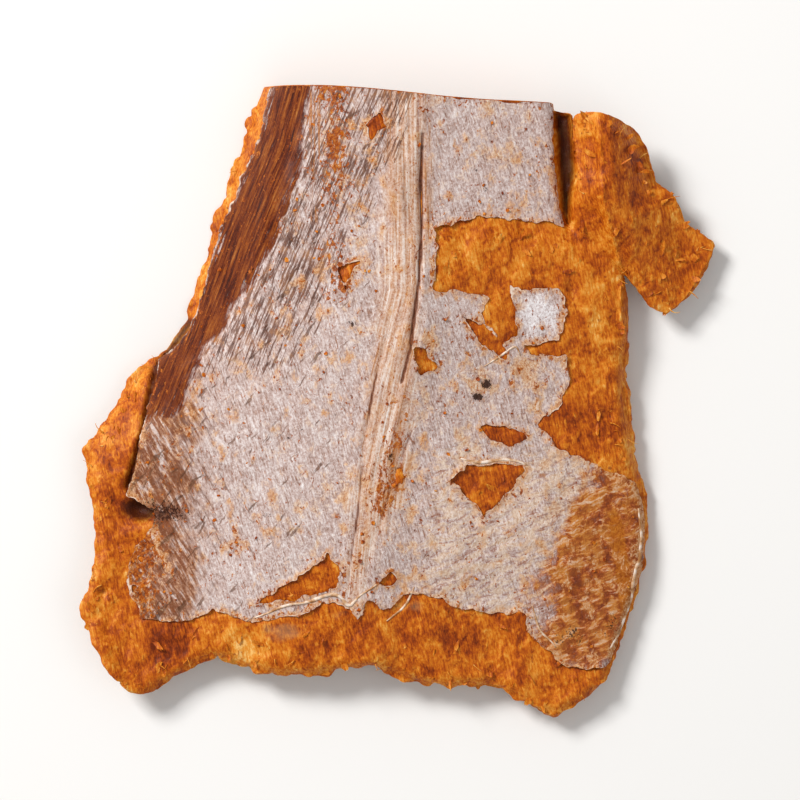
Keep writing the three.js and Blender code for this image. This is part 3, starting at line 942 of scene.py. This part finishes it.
# The colours lie over each other from the silver up. Each has the shares of marks and grains that
# bring it out, the levels where it starts and is full, how much it covers, the shares of grains that
# its tones follow, and those tones.
SKIN_COLOURS = [
    # bare silver
    (
        {"fine": 1}, -2, -1, 1, {"fine": 0.6, "hair": 0.5, "patch": 0.25},
        [(0.44, "#76564b"), (0.55, "#a08479"), (0.65, "#bda49c"), (0.75, "#d6c6c1"), (0.88, "#f0e9e6")],
    ),
    # beige where it is warmed by oil
    (
        {"broad": 1, "patch": 0.9, "warm": 0.2, "fine": 0.4}, 1.2, 1.4, 0.8, {"fine": 1},
        [(0.3, "#a9622a"), (0.45, "#c78f5e"), (0.58, "#dab793"), (0.72, "#eddccb")],
    ),
    # fine brown veins
    (
        {"hair": -1, "patch": -0.4}, -0.58, -0.48, 0.6, {"fine": 1},
        [(0.3, "#744028"), (0.7, "#ad7044")],
    ),
    # tan near the rims
    (
        {"stained": 1, "patch": 1, "fine": 0.5}, 0.9, 1.5, 0.78, {"fine": 0.6, "patch": 0.5},
        [(0.4, "#632f12"), (0.52, "#8f5428"), (0.64, "#b57c50"), (0.78, "#d3b092")],
    ),
    # pleats along the midline
    (
        {"cream": 1, "patch": 1.4, "pleat": 1.2}, 1.6, 2.4, 0.9, {"pleat": 0.7, "fine": 0.3, "patch": 0.15},
        [(0.45, "#93480f"), (0.51, "#bb7f50"), (0.58, "#cfab93"), (0.67, "#e6d5c9"), (0.77, "#f8f2ee")],
    ),
    # pale strokes, then the dark gaps between them
    (
        {"left_flank": 0.5, "rim_stroke": 1}, 1.03, 1.2, 0.6, {"fine": 1},
        [(0.3, "#cbb9b2"), (0.7, "#f6f0ee")],
    ),
    (
        {"upper_left": 0.6, "upper_stroke": -1}, 0.05, 0.16, 0.9, {"patch": 1},
        [(0.35, "#4c2a1c"), (0.5, "#6d4738"), (0.65, "#8f5f3e")],
    ),
    (
        {"left_flank": 0.36, "rim_left": 0.24, "rim_stroke": -1}, 0, 0.16, 0.75,
        {"patch": 0.7, "stained": 0.2}, [(0.3, "#75574b"), (0.45, "#6d3d22"), (0.6, "#73330c")],
    ),
    (
        {"left_flank": 0.5, "stained": 0.08, "crack": -1}, 0.14, 0.22, 0.75, {"patch": 1},
        [(0.35, "#432619"), (0.65, "#774f36")],
    ),
    # the lower right flank: orange rust under pale ribs
    (
        {"rust": 1, "patch": 1.6, "rib": 1.1, "broad": 0.6}, 2, 2.4, 0.95,
        {"fine": 0.5, "patch": 0.9, "rib": 0.5},
        [(0.72, "#4f1601"), (0.85, "#8a3804"), (0.95, "#b25b0c"), (1, "#c47a28")],
    ),
    (
        {"right_flank": 0.6, "rust": -0.12, "rib": 1, "patch": 0.3}, 1.16, 1.34, 0.75, {"fine": 1},
        [(0.3, "#bd9067"), (0.7, "#ecdac8")],
    ),
    (
        {"right_flank": 0.6, "rust": 0.1, "rib": -1}, 0.14, 0.28, 0.7, {"patch": 1},
        [(0.35, "#7a3408"), (0.65, "#a9642c")],
    ),
    (
        {"amber": 1, "patch": 1}, 1, 1.3, 0.85, {"fine": 0.6, "patch": 0.4},
        [(0.35, "#8e3f04"), (0.65, "#c87a22")],
    ),
    # the side band, and its darker border: painted shade along its outer edge, where the band turns down,
    # and a darker brown along its inner edge
    (
        {"side_band": 1, "band_fibre": 1.8, "patch": 0.8}, 1.65, 1.95, 1, {"band_fibre": 0.8, "fine": 0.2},
        [(0.36, "#2c0900"), (0.44, "#4e1801"), (0.51, "#6c2c06"), (0.59, "#894611"), (0.72, "#ab7036")],
    ),
    ({"band_rim": 1, "band_fibre": 1}, 1, 1.5, 0.6, {"fine": 1}, [(0.3, "#441302"), (0.7, "#6c2a06")]),
    # the scrap that light has bleached
    (
        {"bleached": 1, "fine": 0.5}, 0.6, 1.1, 0.75, {"fine": 1, "hair": 0.3},
        [(0.45, "#b3a09c"), (0.65, "#e8e0e0"), (0.85, "#ffffff")],
    ),
    # oil along the torn edges, and browned pleats
    (
        {"edge_stain": 0.5, "patch": 1, "fine": 0.6, "side_band": -0.6}, 1.12, 1.36, 0.8, {"fine": 1},
        [(0.3, "#a3602c"), (0.5, "#c98f5c"), (0.7, "#e4c6a6")],
    ),
    ({"streaked": 0.36, "pleat": 1}, 0.82, 0.94, 0.85, {"fine": 1}, [(0.3, "#7d3f14"), (0.7, "#c07f42")]),
    # specks of oil and dust, a painted highlight along the torn edges, painted shade in the creases, and
    # dark marks
    (
        {"speckled": 0.24, "speck": 1}, 0.62, 0.69, 0.95, {"fine": 0.7, "patch": 0.3},
        [(0.36, "#5a2206"), (0.5, "#a04a0c"), (0.64, "#c9802f")],
    ),
    (
        {"torn_edge": 0.6, "patch": 1, "rust": -0.6}, 1.04, 1.24, 0.7, {"fine": 1},
        [(0.3, "#e3cdb9"), (0.7, "#f6ebe0")],
    ),
    ({"creased": 1, "fine": 0.6}, 0.6, 1.1, 0.9, {"fine": 1}, [(0.3, "#43190a"), (0.7, "#7a3c18")]),
    (
        {"dark_mark": 0.8, "fine": 2, "patch": 1.2}, 2.05, 2.3, 0.95, {"fine": 1},
        [(0.35, "#0a0302"), (0.7, "#3a150a")],
    ),
]
skin_colour = "#ffffff"
for brought_out, start, full, most, tone_shares, stops in SKIN_COLOURS:
    totals = []
    for shares in (brought_out, tone_shares):
        total = 0
        for name, share in shares.items():
            total = add(
                tree, "ShaderNodeMath", {"operation": "MULTIPLY_ADD"},
                {0: values[name], 1: share, 2: total},
            ).outputs["Value"]
        totals.append(total)
    amount = add(
        tree, "ShaderNodeMapRange", {"interpolation_type": "SMOOTHSTEP"},
        {"Value": totals[0], "From Min": start, "From Max": full, "To Max": most},
    ).outputs["Result"]
    tones = add(tree, "ShaderNodeValToRGB", {"stops": stops}, {"Fac": totals[1]}).outputs["Color"]
    skin_colour = add(
        tree, "ShaderNodeMix", {"data_type": "RGBA"},
        {"Factor": amount, MIX_FROM: skin_colour, MIX_TO: tones},
    ).outputs[MIXED]
tree.links.new(skin_colour, shader.inputs["Base Color"])
skin_relief = 0
for name, share in (("fine", 0.7), ("hair", 0.6), ("pleat", 0.4), ("rim_stroke", 0.2), ("rib", 0.3)):
    skin_relief = add(
        tree, "ShaderNodeMath", {"operation": "MULTIPLY_ADD"}, {0: values[name], 1: share, 2: skin_relief}
    ).outputs["Value"]
bump = add(
    tree, "ShaderNodeBump", {}, {"Height": skin_relief, "Distance": 0.1 * MM, "Strength": 0.7}
).outputs["Normal"]
tree.links.new(bump, shader.inputs["Normal"])
gloss = add(
    tree, "ShaderNodeMapRange", {}, {"Value": values["fine"], "To Min": 0.34, "To Max": 0.6}
).outputs["Result"]
tree.links.new(gloss, shader.inputs["Roughness"])
shader.inputs["IOR"].default_value = 1.45
shader.inputs["Specular IOR Level"].default_value = 0.12
shader.inputs["Coat Weight"].default_value = 0.05
shader.inputs["Coat Roughness"].default_value = 0.3
skin.data.materials.append(silver_skin)
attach(skin, "root")

# ------------------------------------------------------------------------------------------------
# The shreds of flesh. They are thin chips and splinters of the same dried muscle, left standing where
# it tore: along the torn rims, over the bare patches, and as crumbs stuck to the skin.

RIM_SHREDS = 150
PATCH_SHREDS = 110
CRUMBS = 130
# The least and most length, width and thickness of a chip.
RIM_CHIP = [(0.4, 1.3), (0.3, 0.8), (0.12, 0.25)]
PATCH_CHIP = [(0.5, 1.6), (0.2, 0.6), (0.1, 0.22)]
CRUMB_LENGTH = (0.2, 0.5)
CRUMB_THICKNESS = 0.16
SHRED_ROWS = 6  # of points along a chip
SHRED_COLUMNS = 4  # and across it
SHARP_CHIP_ANGLE = 50
chance = np.random.default_rng(7)


def closed_sheet(upper, lower, start):
    """Faces that close two matching grids of points into one thin piece. start is the number of the
    first point, and the upper grid's points come first."""
    rows, columns = upper.shape[:2]
    number = start + np.arange(rows * columns).reshape(rows, columns)
    count = rows * columns
    square = np.stack([number[:-1, :-1], number[1:, :-1], number[1:, 1:], number[:-1, 1:]], 2)
    square = square.reshape(-1, 4)
    rim = np.concatenate([number[:-1, 0], number[-1, :-1], number[:0:-1, -1], number[0, :0:-1]])
    ahead = np.roll(rim, -1)
    wall = np.stack([rim + count, ahead + count, ahead, rim], 1)
    return np.concatenate([square, square[:, ::-1] + count, wall])


def shred(at, heading, rise, length, width, thickness):
    """One chip: its upper and lower grids. It starts at a place, and runs up along its heading."""
    u = np.linspace(0, 1, SHRED_ROWS)[:, None]
    v = np.linspace(-1, 1, SHRED_COLUMNS)[None, :]
    blunt = chance.uniform(0.35, 0.85)
    profile = (0.7 + 0.4 * np.sin(math.pi * u)) * (1 - (1 - blunt) * u**4)
    ragged = 1 + 0.3 * chance.uniform(-1, 1, (SHRED_ROWS, SHRED_COLUMNS))
    across = 0.5 * width * profile * v * ragged
    along = length * (u + 0.1 * chance.uniform(-1, 1, (1, SHRED_COLUMNS)) * u)
    curl = chance.uniform(-0.25, 0.35)
    cup = chance.uniform(-0.3, 0.4)
    height = rise * along + curl * length * u**2 + cup * width * v**2 * 0.5
    height = height + 0.05 * chance.uniform(-1, 1, (SHRED_ROWS, SHRED_COLUMNS))
    c = math.cos(heading)
    s = math.sin(heading)
    plan = np.broadcast_arrays(at[0] + along * c - across * s, at[1] + along * s + across * c)
    half = 0.5 * thickness * (1 - 0.75 * u) * (1 - 0.5 * v**2)
    upper = np.stack([*plan, at[2] + height + half], 2)
    lower = np.stack([*plan, at[2] + height - half - 0.02], 2)
    off_floor = np.array([0, 0, max(0, -lower[:, :, 2].min())])
    return upper + off_floor, lower + off_floor


def gather(name, sheets):
    """One piece from many thin ones. Returns it and each point's share of the way to a tip."""
    points = []
    faces = []
    start = 0
    for upper, lower in sheets:
        faces.append(closed_sheet(upper, lower, start))
        points += [upper.reshape(-1, 3), lower.reshape(-1, 3)]
        start += 2 * upper.shape[0] * upper.shape[1]
    piece = piece_of(name, np.concatenate(points), np.concatenate(faces).tolist())
    piece.data.set_sharp_from_angle(angle=math.radians(SHARP_CHIP_ANGLE))
    rows, columns = sheets[0][0].shape[:2]
    return piece, np.tile(np.repeat(np.linspace(0, 1, rows), columns), 2 * len(sheets))


def outward(x, y):
    """The heading straight out of the solid's rim, in radians."""
    near = 0.6
    slope_x = read(depth_in, x + near, y) - read(depth_in, x - near, y)
    slope_y = read(depth_in, x, y + near) - read(depth_in, x, y - near)
    return np.arctan2(-slope_y, -slope_x)


spots = np.array(rim_places)
spots = spots[torn(spots[:, 0], spots[:, 1]) > 0.6]


def rim_starts(count, least, most):
    """Places on bare flesh a little way in from the torn rims, and the headings straight out."""
    picked = spots[chance.integers(0, len(spots), count)]
    facing = outward(*picked.T)
    back = chance.uniform(least, most, count)
    starts = picked - back[:, None] * np.stack([np.cos(facing), np.sin(facing)], 1)
    bare = (skin_within(*starts.T) < -0.2) & (in_slit_shade(*starts.T) < 0.1)
    return starts[bare], facing[bare]


def drawn(spans):
    """A random value within each of some spans."""
    return [chance.uniform(*span) for span in spans]


chips = []
tones = []
rim_spots, facings = rim_starts(RIM_SHREDS, 0.3, 2)
tops = flesh_top(*rim_spots.T)
lows = flesh_bottom(*rim_spots.T)
for at, facing, top, low in zip(rim_spots, facings, tops, lows):
    level = top - 0.08 if chance.random() < 0.6 else chance.uniform(low + 0.2, top)
    heading = facing + chance.normal(0, 0.8)
    chips.append(shred((*at, level), heading, chance.uniform(-0.15, 0.12), *drawn(RIM_CHIP)))
    tones.append(chance.uniform(-0.2, 0.15))
scattered = chance.uniform((-34, -34), (34, 34), (PATCH_SHREDS * 8, 2))
bare = (read(depth_in, *scattered.T) > 0.6) & (skin_within(*scattered.T) < -0.3)
patch_spots = scattered[bare & (in_slit_shade(*scattered.T) < 0.1)][:PATCH_SHREDS]
for at, top in zip(patch_spots, flesh_top(*patch_spots.T)):
    heading = math.pi / 2 * chance.choice((-1, 1)) + chance.normal(0, 0.7)
    chips.append(shred((*at, top - 0.09), heading, chance.uniform(0, 0.1), *drawn(PATCH_CHIP)))
    tones.append(chance.uniform(-0.25, 0.15))
scattered = chance.uniform((-30, -28), (26, 34), (CRUMBS * 40, 2))
near_tear = np.exp(-np.abs(skin_within(*scattered.T) - 0.4) / 0.7)
near_line = sum(hill(off_line(*scattered.T, line), 1.6) for line in SPECKLED_LINES)
likely = (0.02 + 0.2 * near_tear + 0.5 * near_line) * (skin_within(*scattered.T) > 0.1)
crumb_spots = scattered[chance.random(len(scattered)) < 0.35 * likely][:CRUMBS]
for at, top in zip(crumb_spots, skin_top(*crumb_spots.T)):
    length = chance.uniform(*CRUMB_LENGTH)
    heading = chance.uniform(0, 6.3)  # any way round
    rise = chance.uniform(-0.1, 0.15)
    width = length * chance.uniform(0.5, 0.9)
    chips.append(shred((*at, top + 0.02), heading, rise, length, width, CRUMB_THICKNESS))
    tones.append(chance.uniform(-0.4, 0.05))
shreds, tip = gather("flesh_shreds", chips)
each = 2 * SHRED_ROWS * SHRED_COLUMNS
paint(shreds, "paler", np.repeat(tones, each) + 0.1 * tip)
paint(shreds, "frayed", tip)
shreds.data.materials.append(dried_flesh)
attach(shreds, "root")

# ------------------------------------------------------------------------------------------------
# The fibres. They are single bundles of muscle fibre, pulled out and left hanging over the torn rims
# when the piece was torn off, and dried there. Most real ones are finer than these, which are as
# thick as they have to be to show.

FIBRES = 100
FIBRE_SIDES = 5
FIBRE_STEPS = 7
FIBRE_LENGTH = (0.6, 1.8)
FIBRE_RADIUS = (0.05, 0.1)
FIBRE_LOWEST = 0.15  # how low one may hang over the surface


def strand(points, radii, flat):
    """A tube through the points with a radius at each, as rings. Flat is its height over its width."""
    ahead = np.gradient(points, axis=0)
    ahead /= np.linalg.norm(ahead, axis=1)[:, None]
    side = np.cross(ahead, (0, 0, 1))
    side /= np.linalg.norm(side, axis=1)[:, None] + 1e-9
    up = np.cross(side, ahead)
    turn = np.arange(FIBRE_SIDES) * 2 * math.pi / FIBRE_SIDES
    wide = radii[:, None, None] * (side[:, None] * np.cos(turn)[None, :, None])
    high = radii[:, None, None] * flat * (up[:, None] * np.sin(turn)[None, :, None])
    return points[:, None] + wide + high


def tubes(name, strands):
    """One piece from many strands, each closed at its ends."""
    points = []
    faces = []
    start = 0
    for rings in strands:
        rows = len(rings)
        number = start + np.arange(rows * FIBRE_SIDES).reshape(rows, FIBRE_SIDES)
        turned_on = np.roll(number, -1, 1)
        sides = np.stack([number[:-1], number[1:], turned_on[1:], turned_on[:-1]], 2)
        faces += sides.reshape(-1, 4).tolist() + [number[0].tolist(), number[-1][::-1].tolist()]
        points.append(rings.reshape(-1, 3))
        start += rows * FIBRE_SIDES
    return piece_of(name, np.concatenate(points), faces)


hairs = []
share = np.linspace(0, 1, FIBRE_STEPS)[:, None]
starts, facings = rim_starts(FIBRES, 0.2, 2.4)
for at, facing, level in zip(starts, facings, flesh_top(*starts.T)):
    turning = facing + chance.normal(0, 0.6) + chance.normal(0, 0.7) * share[:, 0]
    length = chance.uniform(*FIBRE_LENGTH)
    plan = np.cumsum(np.stack([np.cos(turning), np.sin(turning)], 1), 0) * length / FIBRE_STEPS
    rise_up = chance.uniform(0, 0.25) * length * share - 0.25 * length * chance.random() * share**2
    path = np.concatenate([at + plan, np.maximum(level + rise_up, FIBRE_LOWEST)], 1)
    hairs.append(strand(path, chance.uniform(*FIBRE_RADIUS) * (1.05 - 0.8 * share[:, 0]), 1))
fibres = tubes("flesh_fibres", hairs)
paint(fibres, "paler", np.repeat(chance.uniform(0, 0.5, len(hairs)), FIBRE_STEPS * FIBRE_SIDES))
fibres.data.materials.append(dried_flesh)
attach(fibres, "root")

# ------------------------------------------------------------------------------------------------
# The membrane threads. They are strings of the white membrane that joined the skin to the flesh,
# drawn out along the skin's lower edge, over its tears and down the right rim, and dried.

THREAD_FLATNESS = 0.35  # height over width
THREAD_STEP = 0.4  # between its points
THREAD_SWAY = 0.12
THREAD_LIFT = 0.03  # over what it lies on
# Each thread's half width and its line.
THREADS = [
    (
        0.22,
        [
            (-16.3, -24.1), (-12.5, -22.8), (-9.3, -22), (-6.9, -21.4), (-5.8, -23), (-4.5, -21.7),
            (-2.3, -20.1),
        ],
    ),
    (0.15, [(-1.6, -24.4), (0.6, -22.8), (1.6, -20.8)]),
    (0.2, [(6.6, -6.4), (9.2, -7), (12.6, -6.5), (14.2, -7.2)]),
    (0.12, [(9.2, 3.8), (11.2, 5), (12.8, 6.2), (13.4, 4.8)]),
    (0.3, [(26.5, -12), (26.9, -15.6), (26.1, -20), (24.9, -24.6), (23.4, -27.6)]),
    (0.12, [(14.6, -22.8), (15.4, -25.4), (17.4, -27.6)]),
]
strings = []
for half_width, line in THREADS:
    corners = np.array(line, float)
    stops = np.concatenate([[0], np.cumsum(np.linalg.norm(np.diff(corners, axis=0), axis=1))])
    count = int(stops[-1] / THREAD_STEP)
    at = np.linspace(0, stops[-1], count)
    plan = np.stack([np.interp(at, stops, corners[:, k]) for k in (0, 1)], 1)
    for _ in range(3):
        plan[1:-1] = (plan[:-2] + 2 * plan[1:-1] + plan[2:]) / 4
    sway = [noise(at + 9 * half_width * k, at * 0, 1.4, 120 + k) for k in (1, 2)]
    plan += THREAD_SWAY * np.stack(sway, 1)
    on_skin = smooth(skin_within(*plan.T), -0.3, 0.3)
    level = flesh_top(*plan.T) * (1 - on_skin) + skin_top(*plan.T) * on_skin
    tapered = half_width * (0.35 + 0.65 * np.sin(np.linspace(0.1, 3, count)))
    radii = tapered * (1 + 0.3 * noise(at, at * 0 + half_width * 40, 0.8, 123))
    path = np.concatenate([plan, level[:, None] + THREAD_LIFT], 1)
    strings.append(strand(path, radii, THREAD_FLATNESS))
threads = tubes("membrane_threads", strings)

# Dried membrane: collagen that has dried milky. It gives a warm white with a soft gloss.
membrane = bpy.data.materials.new("dried_white_membrane")
membrane.use_nodes = True
tree = membrane.node_tree
shader = tree.nodes["Principled BSDF"]
place = add(tree, "ShaderNodeTexCoord").outputs["Object"]
clouds = add(
    tree, "ShaderNodeTexNoise", {}, {"Vector": place, "Scale": PER_MM / 0.9, "Detail": 4}
).outputs["Fac"]
milky = add(
    tree, "ShaderNodeValToRGB",
    {"stops": [(0.36, "#a8703c"), (0.49, "#cfa680"), (0.62, "#ead8c8")]}, {"Fac": clouds},
).outputs["Color"]
tree.links.new(milky, shader.inputs["Base Color"])
bump = add(
    tree, "ShaderNodeBump", {}, {"Height": clouds, "Distance": 0.08 * MM, "Strength": 0.6}
).outputs["Normal"]
tree.links.new(bump, shader.inputs["Normal"])
gloss = add(
    tree, "ShaderNodeMapRange", {}, {"Value": clouds, "To Min": 0.3, "To Max": 0.55}
).outputs["Result"]
tree.links.new(gloss, shader.inputs["Roughness"])
shader.inputs["Specular IOR Level"].default_value = 0.3
threads.data.materials.append(membrane)
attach(threads, "root")

# ------------------------------------------------------------------------------------------------
# The studio: a pale floor under soft light from the upper left, and a camera straight overhead,
# looking down at the fillet where it lies.

CAMERA_HEIGHT = 0.6  # over the fillet's top, in metres
FRAME_WIDTH = 0.088  # of the view, at the fillet, in metres
SENSOR = 36  # its width in millimetres
FLOOR_REACH = 3
SKY_STRENGTH = 0.42
floor_mesh = bpy.data.meshes.new("floor")
floor_corners = [(FLOOR_REACH * across, FLOOR_REACH * up, 0) for across, up in
                 ((-1, -1), (1, -1), (1, 1), (-1, 1))]
floor_mesh.from_pydata(floor_corners, [], [(0, 1, 2, 3)])
floor = bpy.data.objects.new("floor", floor_mesh)
bpy.context.scene.collection.objects.link(floor)
paper = bpy.data.materials.new("matt_white_card")
paper.use_nodes = True
paper.node_tree.nodes["Principled BSDF"].inputs["Base Color"].default_value = linear("#efedea")
paper.node_tree.nodes["Principled BSDF"].inputs["Roughness"].default_value = 0.8
floor.data.materials.append(paper)

world = bpy.data.worlds.new("soft_studio")
bpy.context.scene.world = world
world.use_nodes = True
world.node_tree.nodes["Background"].inputs["Color"].default_value = linear("#ffffff")
world.node_tree.nodes["Background"].inputs["Strength"].default_value = SKY_STRENGTH

# Each light's name, place, size and power in watts.
LIGHTS = [("key", (-0.42, 0.36, 0.5), 0.22, 5.6), ("fill", (0.5, -0.35, 0.6), 0.6, 0.9)]
for name, spot, size, power in LIGHTS:
    lamp = bpy.data.lights.new(name, "AREA")
    lamp.size = size
    lamp.energy = power
    light = bpy.data.objects.new(name, lamp)
    light.location = spot
    light.rotation_mode = "QUATERNION"
    light.rotation_quaternion = light.location.to_track_quat("Z", "Y")
    bpy.context.scene.collection.objects.link(light)

lens = bpy.data.cameras.new("overhead")
lens.sensor_width = SENSOR
lens.lens = SENSOR * CAMERA_HEIGHT / FRAME_WIDTH
camera = bpy.data.objects.new("overhead", lens)
camera.location = (0, 0, CAMERA_HEIGHT + cad_high.z)
bpy.context.scene.collection.objects.link(camera)
bpy.context.scene.camera = camera
bpy.context.scene.view_settings.view_transform = "Standard"
